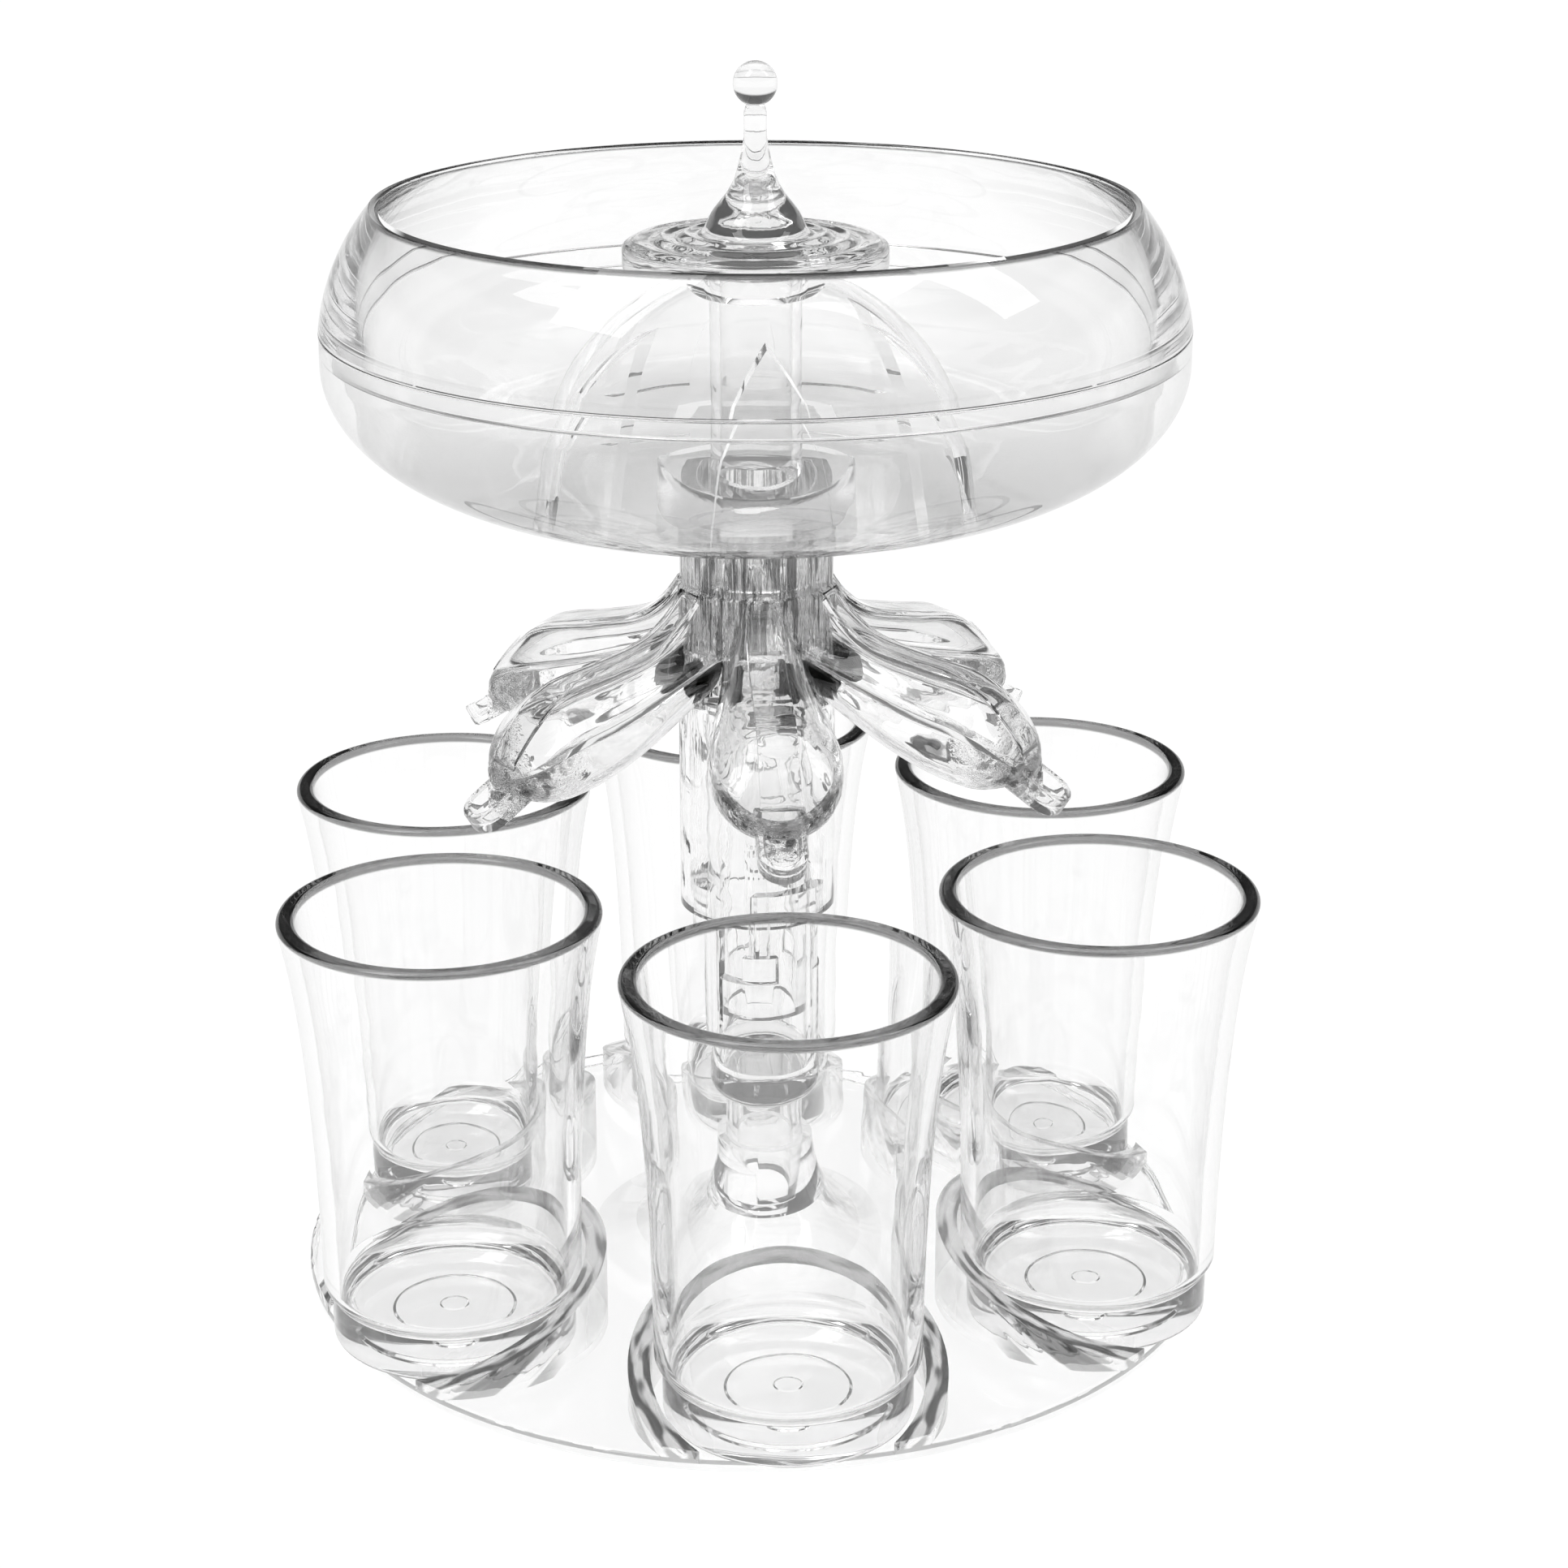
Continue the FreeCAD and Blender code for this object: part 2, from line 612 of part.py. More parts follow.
def makeKnob():
    rimX = discRadius - discEdgeRound
    studX = tubeBore - fitGap
    studZ = discUnderZ - discStudHeight
    ballZ = topZ - ballRadius
    neckZ = discEdgeZ + ballNeckRise
    neckTurn = math.degrees(math.asin((neckZ - ballZ) / ballRadius))
    ballStart = arcMiddle(0, ballZ, ballRadius, neckTurn)
    # rings on the disc, rising gently from its edge to the foot of the cone
    ripples = []
    for step in range(1, 2 * rippleCount):
        share = step / (2 * rippleCount)
        crest = rippleHeight if step % 2 else 0
        ripples.append((rimX + share * (coneFootRadius - rimX), discEdgeZ + share * coneFootRise + crest))
    cone = [(radius, discEdgeZ + rise) for radius, rise in coneLine]
    return turned((0, studZ), [
        (studX, studZ), (studX, discUnderZ), (rimX, discUnderZ),
        (arcMiddle(rimX, discUnderZ + discEdgeRound, discEdgeRound, -45),
         (discRadius, discUnderZ + discEdgeRound)),
        (discRadius, discEdgeZ - discEdgeRound),
        (arcMiddle(rimX, discEdgeZ - discEdgeRound, discEdgeRound, 45), (rimX, discEdgeZ)),
        ripples + [(coneFootRadius, discEdgeZ + coneFootRise)] + cone
        + [(ballNeckRadius, neckZ - ballNeckStraight), ballStart],
        (arcMiddle(0, ballZ, ballRadius, (neckTurn + 90) / 2), (0, topZ))])


def makeStopperTube():
    return tube(tubeRadius, tubeBore, tubeBottom, discUnderZ)


def makeSeal():
    plugX = drainRadius - sealPlugPlay
    plugZ = bowlFloorZ - sealPlugDepth
    rimX = sealRadius - sealEdgeRound
    rimZ = tubeBottom - sealEdgeRound
    studX = tubeBore - fitGap
    return turned((0, plugZ), [
        (plugX, plugZ), (plugX, bowlFloorZ), (sealRadius, bowlFloorZ), (sealRadius, rimZ),
        (arcMiddle(rimX, rimZ, sealEdgeRound, 45), (rimX, tubeBottom)),
        (studX, tubeBottom), (studX, tubeBottom + sealStudHeight), (0, tubeBottom + sealStudHeight)])


def makeGasket():
    return tube(neckRadius - gasketBite, chamberBore + gasketBite, neckTop, bowlBottom)


os.makedirs("parts", exist_ok=True)
sides = ("front", "front_right", "back_right", "back", "back_left", "front_left")
save("holder_tray", makeTray())
save("centre_post", makePost())
save("head_core", makeHeadCore())
trough = makeTrough()
cover = makeCover()
cup = makeCup()
for index, side in enumerate(sides):
    save("spout_" + side, around(trough, index))
    save("spout_cover_" + side, around(cover, index))
    save("cup_" + side, around(cup, index))
save("neck_gasket", makeGasket())
save("bowl_lower", makeBowlLower())
save("bowl_upper", makeBowlUpper())
save("guide_dome", makeDome())
save("splash_knob", makeKnob())
save("stopper_tube", makeStopperTube())
save("drain_seal", makeSeal())
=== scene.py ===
import json
import math

import bmesh
import bpy
from mathutils import Matrix, Vector
from mathutils.geometry import interpolate_bezier


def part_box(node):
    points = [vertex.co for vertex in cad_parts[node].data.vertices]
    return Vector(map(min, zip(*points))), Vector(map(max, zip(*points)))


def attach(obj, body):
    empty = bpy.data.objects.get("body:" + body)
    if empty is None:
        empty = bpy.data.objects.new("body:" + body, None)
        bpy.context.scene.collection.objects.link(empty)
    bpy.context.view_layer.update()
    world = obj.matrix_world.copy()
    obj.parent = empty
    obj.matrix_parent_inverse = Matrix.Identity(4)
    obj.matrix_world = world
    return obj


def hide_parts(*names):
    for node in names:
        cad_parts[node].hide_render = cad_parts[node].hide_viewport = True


# Clear party shot dispenser: the finished pieces, built in metres over the fixed frame.

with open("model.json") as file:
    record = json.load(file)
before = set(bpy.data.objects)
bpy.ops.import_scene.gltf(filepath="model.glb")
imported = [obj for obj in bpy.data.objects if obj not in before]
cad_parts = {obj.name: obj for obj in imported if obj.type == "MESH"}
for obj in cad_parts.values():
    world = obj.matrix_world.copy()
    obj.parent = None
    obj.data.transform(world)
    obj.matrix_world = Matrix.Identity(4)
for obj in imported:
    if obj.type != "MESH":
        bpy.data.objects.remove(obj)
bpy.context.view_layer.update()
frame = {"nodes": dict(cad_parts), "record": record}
print("frame loaded with", len(frame["nodes"]), "nodes")

mm = 0.001
sides = ("front", "front_right", "back_right", "back", "back_left", "front_left")
frontTurn = -math.pi / 2
sideTurn = math.tau / len(sides)
cupLow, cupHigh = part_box("cup_front")
cupRing = -(cupLow.y + cupHigh.y) / 2
kiss = 0.02  # the hairline left between pieces that rest on each other, in millimetres


class Wire:
    # a shader socket that can be reckoned with
    def __init__(self, board, socket):
        self.board = board
        self.socket = socket

    def reckon(self, operation, first, second=0.0):
        return self.board.add("ShaderNodeMath", {"operation": operation}, {0: first, 1: second})

    def __add__(self, other):
        return self.reckon("ADD", self, other)

    def __radd__(self, other):
        return self.reckon("ADD", other, self)

    def __sub__(self, other):
        return self.reckon("SUBTRACT", self, other)

    def __rsub__(self, other):
        return self.reckon("SUBTRACT", other, self)

    def __mul__(self, other):
        return self.reckon("MULTIPLY", self, other)

    def __rmul__(self, other):
        return self.reckon("MULTIPLY", other, self)

    def __gt__(self, other):
        return self.reckon("GREATER_THAN", self, other)

    def __lt__(self, other):
        return self.reckon("LESS_THAN", self, other)


class Board:
    # one node tree, emptied and ready to be wired
    def __init__(self, tree):
        self.tree = tree
        self.tree.nodes.clear()

    def add(self, kind, settings=None, inputs=None, output=0):
        node = self.tree.nodes.new(kind)
        for name, value in (settings or {}).items():
            if name == "stops":
                self.setStops(node.color_ramp, value)
            else:
                setattr(node, name, value)
        for name, value in (inputs or {}).items():
            self.plug(value, node.inputs[name])
        if node.outputs:
            return Wire(self, node.outputs[output])
        return None

    def plug(self, value, socket):
        if isinstance(value, Wire):
            self.tree.links.new(value.socket, socket)
        else:
            socket.default_value = value

    def setStops(self, ramp, stops):
        while len(ramp.elements) > 1:
            ramp.elements.remove(ramp.elements[-1])
        ramp.elements[0].position = stops[0][0]
        ramp.elements[0].color = stops[0][1]
        for place, colour in stops[1:]:
            element = ramp.elements.new(place)
            element.color = colour


def grey(value):
    return (value, value, value, 1.0)


def newBoard(name):
    material = bpy.data.materials.new(name)
    material.use_nodes = True
    return material, Board(material.node_tree)


acrylic = {
    "ior": 1.49,
    "polish": 0.004,  # roughness of a clean moulded face
    "scuff": 0.035,  # roughness inside a hairline scuff
    "scuffGrain": (900.0, 900.0, 60.0),  # grains to the metre, drawn out upwards
    "scuffCut": 0.70,
    "tintGrain": 40.0,
    "waveNoise": (1.5, 0.45), "tintNoise": (2.0, 0.5), "scuffNoise": (3.0, 0.6),  # detail and roughness
}

# edge: grey painted on a face seen edge-on, painted shade for the darker surroundings its edges show; fade:
# how soon it sets in; absorb: darkening per metre of plastic;
# wave: grains to the metre and depth in metres
looks = {
    "tray_clear": {"tint": 0.995, "shade": 0.985, "edge": 0.12, "fade": 3, "absorb": 1.0,
                   "wave": (85, 0.0001)},
    "cup_clear": {"tint": 0.995, "shade": 0.985, "edge": 0.22, "fade": 5, "absorb": 2.0,
                  "wave": (70, 0.00012)},
    "post_clear": {"tint": 0.99, "shade": 0.975, "edge": 0.3, "fade": 4, "absorb": 2.0,
                   "wave": (85, 0.0001)},
    "head_clear": {"tint": 0.995, "shade": 0.98, "edge": 0.15, "fade": 6, "absorb": 1.0,
                   "wave": (160, 0.0003)},
    "spout_clear": {"tint": 0.995, "shade": 0.98, "edge": 0.1, "fade": 6, "absorb": 1.0,
                    "wave": (110, 0.0002)},
    "cover_clear": {"tint": 0.995, "shade": 0.98, "edge": 0.1, "fade": 6, "absorb": 1.0,
                    "wave": (110, 0.00015)},
    "bowl_clear": {"tint": 0.995, "shade": 0.985, "edge": 0.08, "fade": 4, "absorb": 2.0,
                   "wave": (60, 0.0001)},
    "dome_clear": {"tint": 1.0, "shade": 0.99, "edge": 0.1, "fade": 9, "absorb": 0.5,
                   "wave": (70, 0.00005), "ior": 1.12},
    "stopper_clear": {"tint": 0.99, "shade": 0.97, "edge": 0.2, "fade": 4, "absorb": 3.0,
                      "wave": (120, 0.0002)},
}

# painted shade on the rims' tops, by height in metres: where the painted shade starts, how soon it is full,
# and its grey
paintedRimShades = {
    "cup_clear": {"from": 0.0718, "full": 0.0722, "shade": 0.1},
    "bowl_clear": {"from": 0.1744, "full": 0.1748, "shade": 0.1},
}
# the tray's plate is mostly seen through, apart from its edge, which has a grey line of painted shade round
# its top: heights, distances from the axis and shares
plate = {"top": 0.0021, "solid": 0.1, "edgeFrom": 0.0740, "edgeFull": 0.0746, "edgeSolid": 1.0,
         "lineFrom": 0.0749, "lineLow": 0.0014, "lineShade": 0.3}

# the pouring head's moulded-in detail is a bump, with painted shade on it where its clear plastic shows
# dark: streaks down the neck, flecks on the rough spout ends, dark root corners
streaks = {"grain": (850.0, 850.0, 55.0), "noise": (2.0, 0.5), "depth": 0.0014, "from": 0.51, "to": 0.57,
           "shade": 0.08, "foot": 0.1, "fadeOver": 0.006}
ends = {"from": 0.038, "to": 0.045, "stop": 0.0478, "grain": 480.0, "noise": (3.0, 0.6), "depth": 0.0016,
        "cut": 0.52, "soft": 0.58, "shade": 0.12}
rootShade = {"from": 0.0124, "to": 0.0172, "low": 0.0995, "high": 0.1055, "aside": math.radians(8),
         "shade": 0.01}

# flow lines along the holders' walls, a bump with dark painted shade on it, and painted shade darkening
# their sloping tops: from, full, thinTo and hub are distances from the tray's axis, across, down and along
# are grains, slope is how fast the lines fall outwards, thin is the inner walls' share of solid look, and a
# face is a top between topLow and topHigh of facing upwards
arms = {"from": 0.056, "full": 0.062, "across": 800.0, "down": 500.0, "along": 1.1, "slope": 0.7,
        "noise": (0.5, 0.5), "depth": 0.0004, "cut": 0.42, "soft": 0.6, "shade": 0.3,
        "thinTo": 0.046, "thin": 0.8, "hub": 0.024,
        "topFloor": 0.003, "topLow": 0.5, "topHigh": 0.99, "topShade": 0.015, "topShare": 0.55}


def ramped(board, value, start, end):
    return board.add("ShaderNodeMapRange", {"interpolation_type": "SMOOTHSTEP"}, {
        "Value": value, "From Min": start, "From Max": end})


def mixed(board, share, first, second):
    # the colour sockets of a Mix node are reached by number, because its names repeat
    return board.add("ShaderNodeMix", {"data_type": "RGBA"}, {0: share, 6: first, 7: second}, 2)


def noise(board, place, grain, kind):
    detail, roughness = kind
    return board.add("ShaderNodeTexNoise", {}, {
        "Vector": place, "Scale": grain, "Detail": detail, "Roughness": roughness})


def drawn(board, place, grain, kind):
    # noise whose grains are longer one way than another
    longer = board.add("ShaderNodeMapping", {}, {"Vector": place, "Scale": grain})
    return noise(board, longer, 1.0, kind)


def heightOf(board, place):
    return board.add("ShaderNodeSeparateXYZ", {}, {"Vector": place}, "Z")


def aroundAxis(board, place):
    # distance from the upright axis and turn about it
    across = board.add("ShaderNodeSeparateXYZ", {}, {"Vector": place}, "X")
    along = board.add("ShaderNodeSeparateXYZ", {}, {"Vector": place}, "Y")
    return across.reckon("SQRT", across * across + along * along), across.reckon("ARCTAN2", along, across)


def asideOf(turn):
    # turn away from the nearest spout's or cup's middle line, which folds the six into one
    return turn.reckon("PINGPONG", turn + (math.tau - frontTurn), sideTurn / 2)


def bumped(board, height, distance, under=None, strength=1.0):
    inputs = {"Height": height, "Strength": strength, "Distance": distance}
    if under:
        inputs["Normal"] = under
    return board.add("ShaderNodeBump", {}, inputs)


def addStreakShade(board, place, colour, bump):
    # dark streaks painted down the head's neck as painted shade, over a matching bump, which fade out
    # towards the spouts
    flow = drawn(board, place, streaks["grain"], streaks["noise"])
    upper = ramped(board, heightOf(board, place), streaks["foot"], streaks["foot"] + streaks["fadeOver"])
    streakShadeShare = ramped(board, flow, streaks["from"], streaks["to"]) * upper
    bump = bumped(board, flow * upper, streaks["depth"], bump)
    return mixed(board, streakShadeShare, colour, grey(streaks["shade"])), bump


def addEndAndRootShade(board, place, colour, bump):
    # painted shade: dark flecks on the spouts' rough outer ends, and near-black root corners with the
    # blocks put there to carry them
    radius, turn = aroundAxis(board, place)
    height = heightOf(board, place)
    end = ramped(board, radius, ends["from"], ends["to"]) * (radius < ends["stop"])
    pebble = noise(board, place, ends["grain"], ends["noise"])
    # painted shade: dark flecks on the outer ends, over the rough bump
    fleckShade = ramped(board, pebble, ends["cut"], ends["soft"]) * end
    bump = bumped(board, pebble * end, ends["depth"], bump)
    colour = mixed(board, fleckShade, colour, grey(ends["shade"]))
    # painted shade: near-black root corners, where the clear root shows dark inner reflections
    corner = (radius > rootShade["from"]) * (radius < rootShade["to"]) * (height > rootShade["low"])
    corner = corner * (height < rootShade["high"]) * (asideOf(turn) > rootShade["aside"])
    return mixed(board, corner, colour, grey(rootShade["shade"])), bump


def aroundCup(board, radius, turn):
    # how far outwards of the nearest cup's axis, how far from it in all, and the turn about it
    aside = asideOf(turn)
    outwards = radius * radius.reckon("COSINE", aside) - cupRing
    sideways = radius * radius.reckon("SINE", aside)
    away = outwards.reckon("SQRT", outwards * outwards + sideways * sideways)
    return outwards, away, outwards.reckon("ARCTAN2", sideways, outwards)


def addArms(board, place, colour, bump, above):
    # flow lines along the holders' walls with painted shade, dark along the lines and darker on the sloping
    # tops, and the walls' share of solid look
    radius, turn = aroundAxis(board, place)
    outwards, away, bend = aroundCup(board, radius, turn)
    height = heightOf(board, place)
    lowered = height + outwards * arms["slope"]
    lines = board.add("ShaderNodeCombineXYZ", {}, {
        "X": away * arms["across"], "Y": lowered * arms["down"], "Z": bend * arms["along"]})
    flow = noise(board, lines, 1.0, arms["noise"])
    outer = ramped(board, radius, arms["from"], arms["full"]) * above
    bump = bumped(board, flow * outer, arms["depth"], bump)
    # painted shade: dark streaks along the walls and darker sloping tops
    dark = ramped(board, flow, arms["cut"], arms["soft"])
    top = board.add("ShaderNodeAttribute", {"attribute_name": "wallTop"}, {}, "Fac")
    colour = mixed(board, dark * outer, colour, grey(arms["shade"]))
    shaded = top * (dark * (1 - arms["topShare"]) + arms["topShare"])
    colour = mixed(board, shaded, colour, grey(arms["topShade"]))
    thin = ramped(board, radius, arms["thinTo"], arms["from"]) * (1 - arms["thin"]) + arms["thin"]
    hub = radius < arms["hub"]
    thin = thin + hub * (1 - thin)
    edge = ramped(board, radius, plate["edgeFrom"], plate["edgeFull"])
    # painted shade: a grey line round the outer edge of the plate
    line = (radius > plate["lineFrom"]) * (height > plate["lineLow"]) * (1 - above)
    colour = mixed(board, line, colour, grey(plate["lineShade"]))
    flat = edge * (plate["edgeSolid"] - plate["solid"]) + plate["solid"]
    return colour, bump, flat + above * (thin - flat)


def lit(board, surface, tint):
    # lets the lamps' light through as a plain tint, so that clear pieces throw no hard shadow
    rays = board.add("ShaderNodeLightPath", {}, {}, "Is Shadow Ray")
    clear = board.add("ShaderNodeBsdfTransparent", {}, {"Color": tint})
    return board.add("ShaderNodeMixShader", {}, {0: rays, 1: surface, 2: clear})


def clearAcrylic(slotName):
    look = looks[slotName]
    tint = grey(look["tint"])
    material, board = newBoard(slotName.replace("_clear", " acrylic"))
    place = board.add("ShaderNodeTexCoord", {}, {}, "Object")
    grain, depth = look["wave"]
    slow = noise(board, place, grain, acrylic["waveNoise"])
    drift = noise(board, place, acrylic["tintGrain"], acrylic["tintNoise"])
    scuffs = drawn(board, place, acrylic["scuffGrain"], acrylic["scuffNoise"]) > acrylic["scuffCut"]
    facing = board.add("ShaderNodeLayerWeight", {}, {"Blend": 0.5}, "Facing")
    body = mixed(board, drift, tint, grey(look["shade"]))
    # painted shade: faces seen edge-on are painted towards the look's edge grey
    paintedEdgeShade = facing.reckon("POWER", facing, look["fade"])
    height = heightOf(board, place)
    solid = 1.0
    if slotName == "tray_clear":
        above = height > plate["top"]
        paintedEdgeShade = paintedEdgeShade * above
    colour = mixed(board, paintedEdgeShade, body, grey(look["edge"]))
    # painted shade: a grey ring on the rim's top, where the clear rim looks dark
    if slotName in paintedRimShades:
        rimShade = paintedRimShades[slotName]
        rimShadeShare = ramped(board, height, rimShade["from"], rimShade["full"])
        colour = mixed(board, rimShadeShare, colour, grey(rimShade["shade"]))
    bump = bumped(board, slow, depth)
    if slotName == "tray_clear":
        colour, bump, solid = addArms(board, place, colour, bump, above)
    if slotName == "head_clear":
        colour, bump = addStreakShade(board, place, colour, bump)
    if slotName == "spout_clear":
        colour, bump = addEndAndRootShade(board, place, colour, bump)
    glass = board.add("ShaderNodeBsdfPrincipled", {}, {
        "Base Color": colour, "Roughness": scuffs * acrylic["scuff"] + acrylic["polish"],
        "IOR": look.get("ior", acrylic["ior"]), "Transmission Weight": 1.0, "Normal": bump, "Alpha": solid})
    inside = board.add("ShaderNodeVolumeAbsorption", {}, {"Color": grey(0.0), "Density": look["absorb"]})
    board.add("ShaderNodeOutputMaterial", {}, {"Surface": lit(board, glass, tint), "Volume": inside})
    return material


silicone = {"cloudGrain": 220.0, "cloudNoise": (3.0, 0.6), "poreGrain": 2600.0, "poreNoise": (2.0, 0.5),
            "poreDepth": 0.00003, "poreStrength": 0.3, "polish": 0.02, "haze": 0.08}
rubbers = {
    "gasket_silicone": {"tint": 0.97, "shade": 0.93, "ior": 1.41},
    "seal_silicone": {"tint": 0.99, "shade": 0.98, "ior": 1.1},
}


def clearSilicone(slotName):
    look = rubbers[slotName]
    shade = grey(look["shade"])
    material, board = newBoard(slotName.replace("_", " "))
    place = board.add("ShaderNodeTexCoord", {}, {}, "Object")
    cloud = noise(board, place, silicone["cloudGrain"], silicone["cloudNoise"])
    pores = noise(board, place, silicone["poreGrain"], silicone["poreNoise"])
    bump = bumped(board, pores, silicone["poreDepth"], strength=silicone["poreStrength"])
    rubber = board.add("ShaderNodeBsdfPrincipled", {}, {
        "Base Color": mixed(board, cloud, grey(look["tint"]), shade),
        "Roughness": cloud * silicone["haze"] + silicone["polish"],
        "IOR": look["ior"], "Transmission Weight": 1.0, "Normal": bump})
    board.add("ShaderNodeOutputMaterial", {}, {"Surface": lit(board, rubber, shade)})
    return material


finishes = {name: clearAcrylic(name) for name in looks}
finishes.update({name: clearSilicone(name) for name in rubbers})
nodeSlots = {part["node"]: part["material_slot"] for part in frame["record"]["subparts"]}
print("finishes ready:", len(finishes))


arcStep = math.radians(9)  # the most that one step of an arc turns


def rounded(corners):
    # a line through corners (x, z) or (x, z, radius), with an arc at each corner that has a radius
    line = []
    for index, corner in enumerate(corners):
        here = Vector(corner[:2])
        if len(corner) < 3 or index in (0, len(corners) - 1):
            line.append(here)
            continue
        towards = (Vector(corners[index - 1][:2]) - here).normalized()
        away = (Vector(corners[index + 1][:2]) - here).normalized()
        half = towards.angle(away) / 2
        reach = corner[2] / math.tan(half)
        centre = here + (towards + away).normalized() * (corner[2] / math.sin(half))
        start = here + towards * reach - centre
        end = here + away * reach - centre
        steps = max(2, math.ceil((math.pi - 2 * half) / arcStep))
        for step in range(steps + 1):
            share = step / steps
            line.append(centre + start.slerp(end, share) * corner[2])
    return line


def swept(start, firstHandle, lastHandle, end, steps):
    # a free curve between two points of the profile
    knots = [Vector((x, z, 0.0)) for x, z in (start, firstHandle, lastHandle, end)]
    return [(point.x, point.y) for point in interpolate_bezier(*knots, steps)]


def bodyOf(node):
    for body, members in frame["record"]["behaviour"]["bodies"].items():
        if node in members:
            return body
    raise KeyError(node)


merge = 0.002  # points nearer than this are one, in millimetres
flatTurn = math.radians(0.15)  # faces that turn less than this are one flat face


def newPiece(name, bm, node, crease=34.0):
    # a finished piece that stands for its node; edges sharper than the crease, in degrees, stay sharp
    body, slotName = bodyOf(node), nodeSlots[node]
    bmesh.ops.remove_doubles(bm, verts=bm.verts, dist=merge * mm)
    bmesh.ops.recalc_face_normals(bm, faces=bm.faces)
    bmesh.ops.dissolve_limit(bm, angle_limit=flatTurn, verts=bm.verts, edges=bm.edges)
    for face in bm.faces:
        face.smooth = True
    mesh = bpy.data.meshes.new(name)
    bm.to_mesh(mesh)
    bm.free()
    mesh.set_sharp_from_angle(angle=math.radians(crease))
    piece = bpy.data.objects.new(name, mesh)
    bpy.context.scene.collection.objects.link(piece)
    mesh.materials.append(finishes[slotName])
    weigh = piece.modifiers.new("even shading", "WEIGHTED_NORMAL")
    weigh.keep_sharp = True
    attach(piece, body)
    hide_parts(node)


def turned(line, turns, closed=False):
    # spins a profile in millimetres about the upright axis
    bm = bmesh.new()
    verts = [bm.verts.new((point[0] * mm, 0.0, point[1] * mm)) for point in line]
    edges = [bm.edges.new(pair) for pair in zip(verts, verts[1:])]
    if closed:
        edges.append(bm.edges.new((verts[-1], verts[0])))
    bmesh.ops.spin(bm, geom=verts + edges, cent=(0, 0, 0), axis=(0, 0, 1), angle=math.tau, steps=turns,
                   use_merge=True, use_duplicate=False)
    return bm


def markShadedTops(bm):
    # marks the sloping tops of the holders' walls, which the tray's finish darkens as painted shade
    mark = bm.faces.layers.float.new("wallTop")
    for face in bm.faces:
        middle = face.calc_center_median()
        sloping = arms["topLow"] < face.normal.z < arms["topHigh"]
        if sloping and middle.z > arms["topFloor"] and middle.xy.length > arms["hub"]:
            face[mark] = 1.0


def refined(node):
    # a node whose own shape is right: joined up, smooth and drawn in by a hairline, so no faces coincide
    bm = bmesh.new()
    bm.from_mesh(frame["nodes"][node].data)
    bmesh.ops.remove_doubles(bm, verts=bm.verts, dist=merge * mm)
    bmesh.ops.recalc_face_normals(bm, faces=bm.faces)
    bm.normal_update()
    if node == "holder_tray":
        markShadedTops(bm)
    moves = [(vert, vert.normal * kiss * mm) for vert in bm.verts]
    for vert, move in moves:
        vert.co -= move
    newPiece(node + "_piece", bm, node, crease=28.0)


cup = {
    "turns": 128, "sideSteps": 18, "footRound": 0.9, "footInset": 1.25, "footTop": 7.6,
    "waist": 20.4, "waistTop": 9.4, "waistRound": 0.8,
    "handles": ((20.5, 32.0), (21.6, 57.0)),
    "rimRound": 0.95, "rimWall": 2.9, "wall": 2.3,
    "floor": 6.0, "floorRound": 4.0, "recess": 9.6, "recessDepth": 0.6, "recessSlope": 0.2,
    "pip": 2.1, "pipDepth": 0.4, "pipSlope": 0.2, "pipRound": 0.12,
}


def cupLine(rim, height):
    foot = cup["waist"] - cup["footInset"]
    inside = cup["waist"] - cup["wall"]
    first, last = cup["handles"]
    rimFoot = height - cup["rimRound"]
    outer = swept((cup["waist"], cup["waistTop"]), first, last, (rim, rimFoot), cup["sideSteps"])
    innerFoot = cup["floor"] + cup["floorRound"]
    lip = rim - cup["rimWall"]
    inner = swept((lip, rimFoot), (last[0] - cup["wall"], last[1]),
                  (first[0] - cup["wall"], first[1]), (inside, innerFoot), cup["sideSteps"])
    pipTop, slope = cup["recessDepth"] + cup["pipDepth"], cup["recessSlope"]
    base = [(0.0, pipTop), (cup["pip"], pipTop, cup["pipRound"]),
            (cup["pip"] + cup["pipSlope"], cup["recessDepth"], cup["pipRound"]),
            (cup["recess"] - slope, cup["recessDepth"], slope), (cup["recess"] + slope, 0.0, slope),
            (foot, 0.0, cup["footRound"]), (foot, cup["footTop"], cup["waistRound"]),
            (cup["waist"], cup["waistTop"], cup["waistRound"]), outer[1]]
    rimArc = rounded([outer[-2], (rim, height, cup["rimRound"]), (lip, height, cup["rimRound"]), inner[1]])
    floorArc = rounded([inner[-2], (inside, cup["floor"], cup["floorRound"]), (0.0, cup["floor"])])
    return rounded(base) + outer[2:-2] + rimArc + inner[2:-2] + floorArc


def makeCups():
    rim = (cupHigh.x - cupLow.x) / 2 / mm
    height = (cupHigh.z - cupLow.z) / mm
    for index, side in enumerate(sides):
        bm = turned(cupLine(rim, height), cup["turns"])
        turn = frontTurn + index * sideTurn
        spot = Vector((cupRing * math.cos(turn), cupRing * math.sin(turn), cupLow.z + kiss * mm))
        bmesh.ops.translate(bm, verts=bm.verts, vec=spot)
        newPiece("shot_cup_" + side, bm, "cup_" + side)


makeCups()
print("cups turned")


